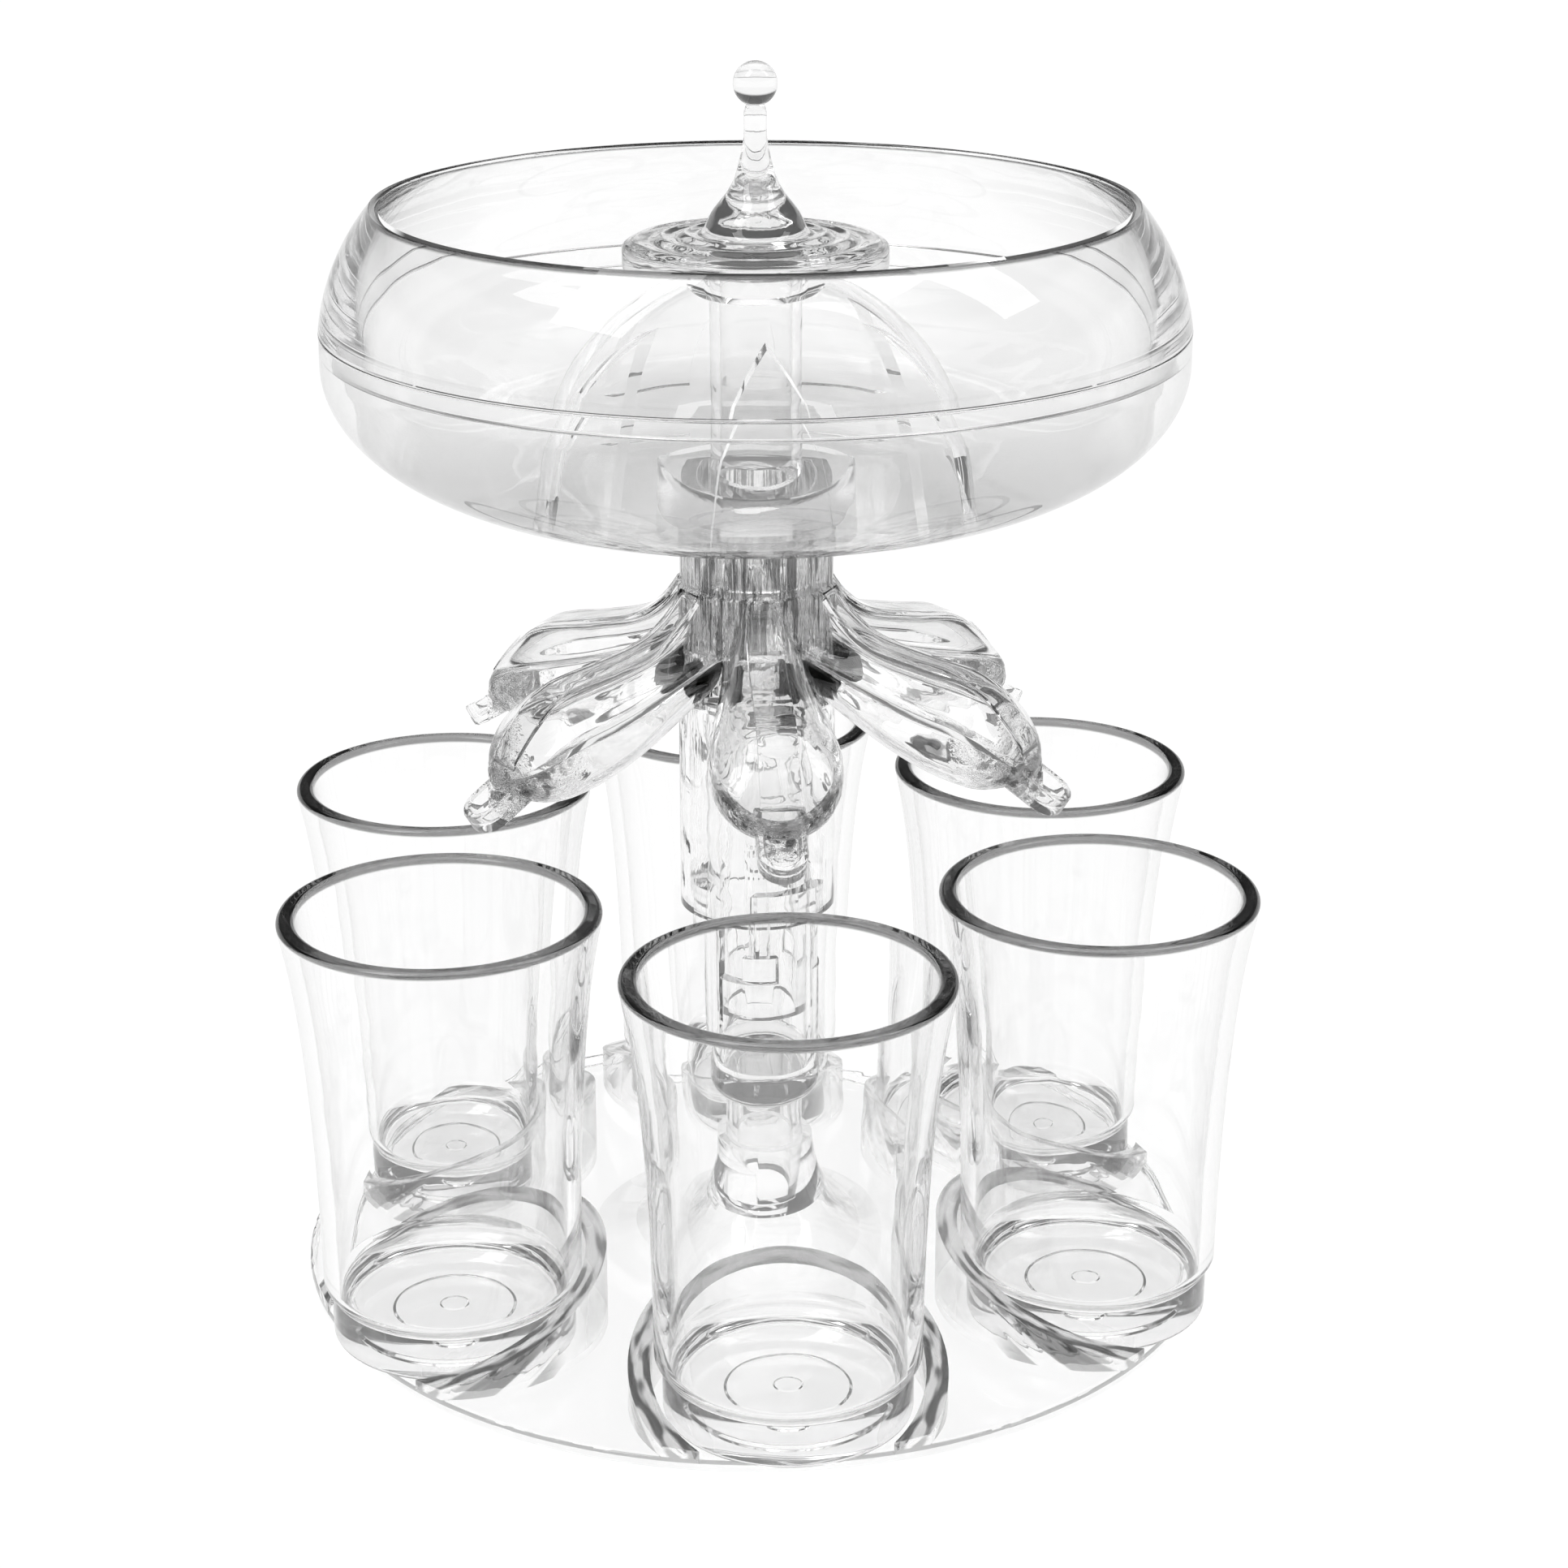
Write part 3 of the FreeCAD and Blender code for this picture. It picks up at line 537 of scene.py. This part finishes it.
bowl = {
    "radius": 66.6, "wall": 4.0, "flat": 27.0, "bottom": 129.3, "floor": 132.0, "floorFlat": 35.0,
    "equator": 151.75, "seam": 157.0, "lap": 3.2, "lip": 1.95, "seamGap": 0.06,
    "rimX": 58.3, "rimZ": 175.2, "rimWall": 1.4, "rimTop": 176.0,
    "midX": 64.6, "midZ": 164.9, "midWall": 2.9,
    "drain": 7.0, "spigot": 9.1, "spigotBottom": 116.0,
    "turns": 192, "outsideSteps": 26, "insideSteps": 24, "upperSteps": 16, "rimSteps": 8,
    "seamRound": 0.25, "lipRound": 0.15, "lapRound": 0.1, "drainRound": 0.5, "spigotRound": 0.3,
}


def quarter(centreX, centreZ, halfX, halfZ, steps):
    # a quarter ellipse, from straight below its centre out to its widest point
    points = []
    for step in range(steps + 1):
        turn = math.pi / 2 * step / steps
        points.append((centreX + halfX * math.sin(turn), centreZ - halfZ * math.cos(turn)))
    return points


def throughThree(first, second, third, steps):
    # an arc of a circle through three points of the profile
    a, b, c = Vector(first), Vector(second), Vector(third)
    ab, ac = b - a, c - a
    twice = 2 * (ab.x * ac.y - ab.y * ac.x)
    centre = a + Vector((ac.y * ab.length_squared - ab.y * ac.length_squared,
                         ab.x * ac.length_squared - ac.x * ab.length_squared)) / twice
    line = []
    for step in range(steps + 1):
        line.append(centre + (a - centre).slerp(c - centre, step / steps) * (a - centre).length)
    return line


def makeBowlLower():
    b = bowl
    lip = b["radius"] - b["lip"]
    inner = b["radius"] - b["wall"]
    outside = quarter(b["flat"], b["equator"], b["radius"] - b["flat"], b["equator"] - b["bottom"],
                      b["outsideSteps"])
    inside = quarter(b["floorFlat"], b["equator"], inner - b["floorFlat"], b["equator"] - b["floor"],
                     b["insideSteps"])
    seam = b["seam"] - b["seamGap"] / 2
    ledge = seam - b["lap"]
    lap = rounded([outside[-1], (b["radius"], seam, b["seamRound"]), (lip, seam, b["lipRound"]),
                   (lip, ledge, b["lapRound"]), (inner, ledge, b["seamRound"]), inside[-1]])
    soft, low = b["spigotRound"], b["spigotBottom"]
    drain = rounded([inside[0], (b["drain"], b["floor"], b["drainRound"]), (b["drain"], low, soft),
                     (b["spigot"], low, soft), (b["spigot"], b["bottom"], soft), outside[0]])
    bm = turned(outside[1:-1] + lap + inside[-2:0:-1] + drain, b["turns"], closed=True)
    newPiece("bowl_lower_shell", bm, "bowl_lower")


def makeBowlUpper():
    b = bowl
    skirt = b["radius"] - b["lip"] - b["seamGap"]
    inner = b["radius"] - b["wall"]
    seam = b["seam"] + b["seamGap"] / 2
    ledge = b["seam"] - b["lap"] + b["seamGap"]
    outside = throughThree((b["radius"], seam), (b["midX"], b["midZ"]), (b["rimX"], b["rimZ"]),
                           b["upperSteps"])
    inside = throughThree((b["rimX"] - b["rimWall"], b["rimZ"]), (b["midX"] - b["midWall"], b["midZ"]),
                          (inner, seam), b["upperSteps"])
    rim = throughThree((b["rimX"], b["rimZ"]), (b["rimX"] - b["rimWall"] / 2, b["rimTop"]),
                       (b["rimX"] - b["rimWall"], b["rimZ"]), b["rimSteps"])
    foot = rounded([inside[-1], (inner, ledge, b["seamRound"]), (skirt, ledge, b["lapRound"]),
                    (skirt, seam, b["lapRound"]), (b["radius"], seam, b["seamRound"]), outside[1]])
    bm = turned(foot[1:] + outside[2:-1] + rim + inside[1:], b["turns"], closed=True)
    newPiece("bowl_upper_shell", bm, "bowl_upper")


makeBowlLower()
makeBowlUpper()
print("bowl turned")


# in millimetres, along a spout that points to +X; a share runs from the plan's outline, 0, to its middle, 1
spout = {
    "root": 9.5, "end": 38.0, "half": 10.0, "rootHalf": 6.2, "floor": 99.0,
    "start": 12.0, "reach": 36.0, "deck": (9.5, -13.9, 5.4),
    "ridge": ((0.0, 17.0), (0.086, 12.8), (0.222, 9.2), (0.444, 7.0), (0.667, 5.4), (0.85, 3.0),
              (1.0, 1.0)),
    "crown": 3.2, "crownReach": 4.5, "noseFrom": 36.0, "noseDrop": 0.04,
    "keelLow": 87.05, "keelX": 45.0, "keelRise": 10.4, "keelRun": 33.0, "keelRound": 8.5,
    "keelSeat": 0.6, "wall": 1.6, "lidWall": 1.3, "middle": 0.97, "humpFrom": 0.12, "humpOver": 0.6,
    "sideSteps": 26, "tipSteps": 24, "keelSteps": 12, "keelGather": 1.5, "innerSteps": 10,
    "lidUnderSteps": 15, "lidUnderGather": 1.4, "lidEdge": 0.1, "lidLip": 0.01, "lidLift": 0.1,
    "lidOverSteps": 21, "lidOverGather": 1.6,
    "barHalf": 3.1, "barLift": 0.45, "barDeep": 1.4, "barFrom": 12.6, "barEnd": 46.6, "barSteps": 36,
    "barRootShare": 0.86, "rimOuter": 0.12, "rimInner": 0.3, "rimFlat": 0.4, "rimLow": 0.5, "rimBevel": 0.1,
    "chuteFoot": (41.2, 90.05), "chuteSlope": math.radians(31.6), "chuteLength": 12.0, "chuteHalf": 3.75,
    "chuteSection": ((0.97, 0.0), (0.4, 0.0), (0.14, 0.12), (0.03, 0.5), (0.0, 1.0), (0.0, 3.55),
                     (0.05, 3.9), (0.24, 3.9), (0.31, 3.6), (0.33, 2.0), (0.42, 1.35), (0.6, 1.2),
                     (0.97, 1.2)),
    "shadeBlockFrom": 12.5, "shadeBlockTo": 15.4, "shadeBlockInside": 2.3, "shadeBlockOutside": 3.9, "shadeBlockLow": 99.7, "shadeBlockHigh": 104.6,
}


def eased(value):
    held = min(max(value, 0.0), 1.0)
    return held * held * (3 - 2 * held)


def ridgeAt(share):
    # a smooth line through the ridge's listed points
    points = spout["ridge"]
    held = min(max(share, 0.0), 1.0)
    index = max(i for i in range(len(points) - 1) if points[i][0] <= held or i == 0)
    before, start = points[max(index - 1, 0)], points[index]
    end, after = points[index + 1], points[min(index + 2, len(points) - 1)]
    width = end[0] - start[0]
    local = (held - start[0]) / width
    slopeIn = (end[1] - before[1]) / (end[0] - before[0]) * width
    slopeOut = (after[1] - start[1]) / (after[0] - start[0]) * width
    square, cube = local ** 2, local ** 3
    return ((2 * cube - 3 * square + 1) * start[1] + (cube - 2 * square + local) * slopeIn
            + (3 * square - 2 * cube) * end[1] + (cube - square) * slopeOut)


def halfAt(x):
    share = (x - spout["root"]) / (spout["end"] - spout["root"])
    return spout["rootHalf"] + (spout["half"] - spout["rootHalf"]) * eased(share)


def deckAt(x):
    share = (x - spout["start"]) / spout["reach"]
    level, slope, bend = spout["deck"]
    return level + slope * share + bend * share * share


def splitAt(x):
    # height of the seam between the trough and its cover
    drop = spout["noseDrop"] * max(x - spout["noseFrom"], 0.0) ** 2
    return spout["floor"] + deckAt(x) - spout["crown"] - drop


def lidTop(x, share, half):
    # the cover's crown with the ridge's hump on it
    inset = min(share * half / spout["crownReach"], 1.0)
    hump = max(ridgeAt((x - spout["start"]) / spout["reach"]) - deckAt(x), 0.0)
    risen = eased((share - spout["humpFrom"]) / spout["humpOver"])
    return splitAt(x) + spout["crown"] * math.sqrt(inset * (2 - inset)) + hump * risen


def keelAt(x, inset, wall):
    # height of the trough's round underside, or of its inner face when a wall is given
    low = spout["keelLow"] + spout["keelRise"] * ((spout["keelX"] - x) / spout["keelRun"]) ** 2
    reach = spout["keelRound"] - wall
    deep = min(spout["keelRound"], splitAt(x) - low - spout["keelSeat"]) - wall / 2
    held = min(max(inset - wall, 0.0) / reach, 1.0)
    return low + wall + deep * (1 - math.sqrt(held * (2 - held)))


def plan(share, root, end, halfOf, level):
    # one loop over the teardrop's plan, from root round the tip and back; level gives each point's height
    line = []
    for step in range(spout["sideSteps"]):
        x = root + (end - root) * step / spout["sideSteps"]
        half = halfOf(x)
        line.append((x, half * (1 - share(half)), level(x, share(half), half)))
    side = list(line)
    half = halfOf(end)
    for step in range(spout["tipSteps"] + 1):
        turn = math.pi / 2 - math.pi * step / spout["tipSteps"]
        away = half * (1 - share(half))
        x = end + away * math.cos(turn)
        line.append((x, away * math.sin(turn), level(x, share(half), half)))
    for x, y, z in reversed(side):
        line.append((x, -y, z))
    return line


def drawnOut(bm, rows, place, ring):
    # lays the first row of points, then extrudes it from row to row; a ring's rows are closed
    station = bm.verts.layers.int.get("station") or bm.verts.layers.int.new("station")
    verts = []
    for index, point in enumerate(rows[0]):
        vert = bm.verts.new(place(Vector(point) * mm))
        vert[station] = index
        verts.append(vert)
    edges = [bm.edges.new(pair) for pair in zip(verts, verts[1:])]
    if ring:
        edges.append(bm.edges.new((verts[-1], verts[0])))
    first = list(edges)
    for row in rows[1:]:
        grown = bmesh.ops.extrude_edge_only(bm, edges=edges)["geom"]
        edges = [item for item in grown if isinstance(item, bmesh.types.BMEdge) and all(
            end not in verts for end in item.verts)]
        verts = [item for item in grown if isinstance(item, bmesh.types.BMVert)]
        for vert in verts:
            vert.co = place(Vector(row[vert[station]]) * mm)
    return first, edges, station


def lofted(bm, loops, place):
    # a closed skin over loops that run from one side of the plan, round the tip, to the other
    first, last, station = drawnOut(bm, loops, place, False)
    middle = len(loops[0]) // 2
    for edges in (first, last):
        halves = [edge for edge in edges if all(vert[station] != middle for vert in edge.verts)]
        bmesh.ops.bridge_loops(bm, edges=halves)
        tip = {vert for edge in edges for vert in edge.verts if abs(vert[station] - middle) < 2}
        bmesh.ops.contextual_create(bm, geom=list(tip))
    bmesh.ops.edgeloop_fill(bm, edges=[edge for edge in bm.edges if edge.is_boundary])


def steady(value):
    return lambda half: value


def leaf(share, level):
    # a loop over the whole spout's plan
    return plan(share, spout["root"], spout["end"], halfAt, level)


def troughLoops():
    # the underside inwards to the rim, the rim, and the inner face down to the middle
    s = spout
    loops = []
    for step in range(s["keelSteps"] + 1):
        share = s["middle"] * (1 - step / s["keelSteps"]) ** s["keelGather"]
        loops.append(leaf(steady(share), lambda x, t, half: keelAt(x, t * half, 0.0)))
    rim = ((0.0, -s["rimLow"]), (s["rimOuter"], -s["rimBevel"]), (s["rimFlat"], 0.0),
           (s["wall"] - s["rimInner"], 0.0), (s["wall"], -s["rimInner"]))
    for inset, lift in rim:
        loops.append(leaf(lambda half, inset=inset: inset / half,
                          lambda x, t, half, lift=lift: splitAt(x) + lift))
    for step in range(1, s["innerSteps"] + 1):
        part = step / s["innerSteps"]
        loops.append(leaf(lambda half, part=part: s["middle"] * part + s["wall"] / half * (1 - part),
                          lambda x, t, half: keelAt(x, t * half, s["wall"])))
    return loops


def lidLoops():
    # the cover's underside from the middle outwards, its edge, and its top back to the middle
    s = spout
    loops = []
    for step in range(s["lidUnderSteps"] + 1):
        along = (1 - step / s["lidUnderSteps"]) ** s["lidUnderGather"]
        share = s["lidEdge"] + (s["middle"] - s["lidEdge"]) * along
        loops.append(leaf(steady(share), lambda x, t, half: max(
            splitAt(x) + 2 * kiss, lidTop(x, t, half) - s["lidWall"])))
    loops.append(leaf(steady(s["lidLip"]), lambda x, t, half: splitAt(x) + 2 * kiss))
    for step in range(1, s["lidOverSteps"] + 1):
        along = (step / s["lidOverSteps"]) ** s["lidOverGather"]
        share = s["lidLip"] + (s["middle"] - s["lidLip"]) * along
        loops.append(leaf(steady(share), lambda x, t, half: lidTop(x, t, half) + s["lidLift"]))
    return loops


def barRings():
    # the flat bar along the top of the cover, ring by ring from its root to its nose
    s = spout
    rings = []
    for step in range(s["barSteps"] + 1):
        part = step / s["barSteps"]
        x = s["barFrom"] + (s["barEnd"] - s["barFrom"]) * part
        share = 1.0 if x <= s["end"] else 1 - (x - s["end"]) / s["half"]
        top = lidTop(x, share, halfAt(min(x, s["end"]))) + s["barLift"]
        half = s["barHalf"] * (s["barRootShare"] + (1 - s["barRootShare"]) * part)
        low = top - s["barDeep"]
        rings.append(((x, half, top), (x, -half, top), (x, -half, low), (x, half, low)))
    return rings


def chuteLoops():
    # the open nozzle in its own frame: share from the outline and height, from its underside to its floor
    s = spout
    return [plan(steady(share), 0.0, s["chuteLength"] - s["chuteHalf"], lambda x: s["chuteHalf"],
                 lambda x, t, half, level=level: level) for share, level in s["chuteSection"]]


def shadeBlockPlace(way):
    # one of the two small solid blocks put at a spout's root to carry its painted shade, the near-black
    # root corners
    s = spout
    low = Vector((s["shadeBlockFrom"], way * s["shadeBlockInside"], s["shadeBlockLow"])) * mm
    high = Vector((s["shadeBlockTo"], way * s["shadeBlockOutside"], s["shadeBlockHigh"])) * mm
    span = high - low
    return Matrix.Translation((low + high) / 2) @ Matrix.Diagonal((span.x, abs(span.y), span.z, 1.0))


def makeSpouts():
    s = spout
    foot = Vector((s["chuteFoot"][0], 0.0, s["chuteFoot"][1])) * mm
    tilt = Matrix.Rotation(s["chuteSlope"], 3, "Y")
    for index, side in enumerate(sides):
        turn = Matrix.Rotation(frontTurn + index * sideTurn, 3, "Z")
        bm = bmesh.new()
        lofted(bm, troughLoops(), lambda point: turn @ point)
        lofted(bm, chuteLoops(), lambda point: turn @ (foot + tilt @ point))
        # the two blocks carry the root corners' painted shade
        for way in (-1, 1):
            bmesh.ops.create_cube(bm, size=1.0, matrix=turn.to_4x4() @ shadeBlockPlace(way))
        newPiece("trough_" + side, bm, "spout_" + side)
        bm = bmesh.new()
        lofted(bm, lidLoops(), lambda point: turn @ point)
        for end in drawnOut(bm, barRings(), lambda point: turn @ point, True)[:2]:
            bmesh.ops.edgeloop_fill(bm, edges=end)
        newPiece("trough_lid_" + side, bm, "spout_cover_" + side)


makeSpouts()
print("spouts drawn out")

for kept in ("holder_tray", "centre_post", "head_core", "guide_dome", "splash_knob", "stopper_tube",
             "drain_seal", "neck_gasket"):
    refined(kept)
print("kept shapes refined")


stage = {
    "floorRadius": 40.0, "floorSteps": 96,
    "floorDrop": 0.00005,
    "floorShade": 0.12, "floorRoughness": 0.9, "floorSheen": 0.1,
    "floorGlow": 0.93,  # the floor is a lit sheet, as on a light table
    "sky": ((0.0, 1.0), (0.20, 0.97), (0.28, 0.1), (0.72, 0.12), (0.86, 1.2), (1.0, 1.5)),
    "eyeTurn": 4.34, "eyeYaw": 0.5, "eyePitch": 20.0, "eyeAway": 0.49406, "eyeHeight": 0.26104,
    "lens": 74.9, "sensor": 36.0, "nearest": 0.01,
    "boxAim": (0.0, 0.0, 0.1),
    "boxes": {"key box": ((-0.7, -0.5, 1.3), (0.5, 0.9), 6.0),  # place, size and power
              "fill box": ((0.9, -0.2, 1.2), (0.35, 0.9), 3.0)},
    "bounces": {"max_bounces": 32, "transmission_bounces": 32, "glossy_bounces": 32, "diffuse_bounces": 3,
                "transparent_max_bounces": 48},
}


def makeFloor():
    bm = bmesh.new()
    bmesh.ops.create_circle(bm, cap_ends=True, segments=stage["floorSteps"], radius=stage["floorRadius"])
    bmesh.ops.translate(bm, verts=bm.verts, vec=(0, 0, -stage["floorDrop"]))
    mesh = bpy.data.meshes.new("floor")
    bm.to_mesh(mesh)
    bm.free()
    floor = bpy.data.objects.new("floor", mesh)
    bpy.context.scene.collection.objects.link(floor)
    material, board = newBoard("pale floor")
    paint = board.add("ShaderNodeBsdfPrincipled", {}, {
        "Base Color": grey(stage["floorShade"]), "Roughness": stage["floorRoughness"],
        "Specular IOR Level": stage["floorSheen"],
        "Emission Color": grey(1.0), "Emission Strength": stage["floorGlow"]})
    board.add("ShaderNodeOutputMaterial", {}, {"Surface": paint})
    mesh.materials.append(material)


def makeSky():
    world = bpy.data.worlds.new("soft studio")
    bpy.context.scene.world = world
    world.use_nodes = True
    board = Board(world.node_tree)
    place = board.add("ShaderNodeTexCoord", {}, {}, "Generated")
    stops = [(spot, grey(value)) for spot, value in stage["sky"]]
    ramp = board.add("ShaderNodeValToRGB", {"stops": stops}, {"Fac": heightOf(board, place)})
    glow = board.add("ShaderNodeBackground", {}, {"Color": ramp, "Strength": 1.0})
    board.add("ShaderNodeOutputWorld", {}, {"Surface": glow})


def softBox(name, spot, size, power):
    light = bpy.data.lights.new(name, "AREA")
    light.shape = "RECTANGLE"
    light.size, light.size_y = size
    light.energy = power
    lamp = bpy.data.objects.new(name, light)
    bpy.context.scene.collection.objects.link(lamp)
    lamp.location = spot
    lamp.rotation_euler = (Vector(stage["boxAim"]) - Vector(spot)).to_track_quat("-Z", "Y").to_euler()


def makeCamera():
    camera = bpy.data.cameras.new("camera")
    camera.lens = stage["lens"]
    camera.sensor_width = stage["sensor"]
    camera.clip_start = stage["nearest"]
    eye = bpy.data.objects.new("camera", camera)
    bpy.context.scene.collection.objects.link(eye)
    turn = math.radians(stage["eyeTurn"])
    away = stage["eyeAway"]
    eye.location = (-away * math.sin(turn), -away * math.cos(turn), stage["eyeHeight"])
    eye.rotation_euler = (math.radians(90 - stage["eyePitch"]), 0.0,
                          -math.radians(stage["eyeTurn"] + stage["eyeYaw"]))
    bpy.context.scene.camera = eye


makeFloor()
makeSky()
for boxName, settings in stage["boxes"].items():
    softBox(boxName, *settings)
makeCamera()
bpy.context.scene.view_settings.view_transform = "Standard"
paths = bpy.context.scene.cycles
for setting, most in stage["bounces"].items():
    setattr(paths, setting, most)
paths.caustics_reflective = False
print("stage set")
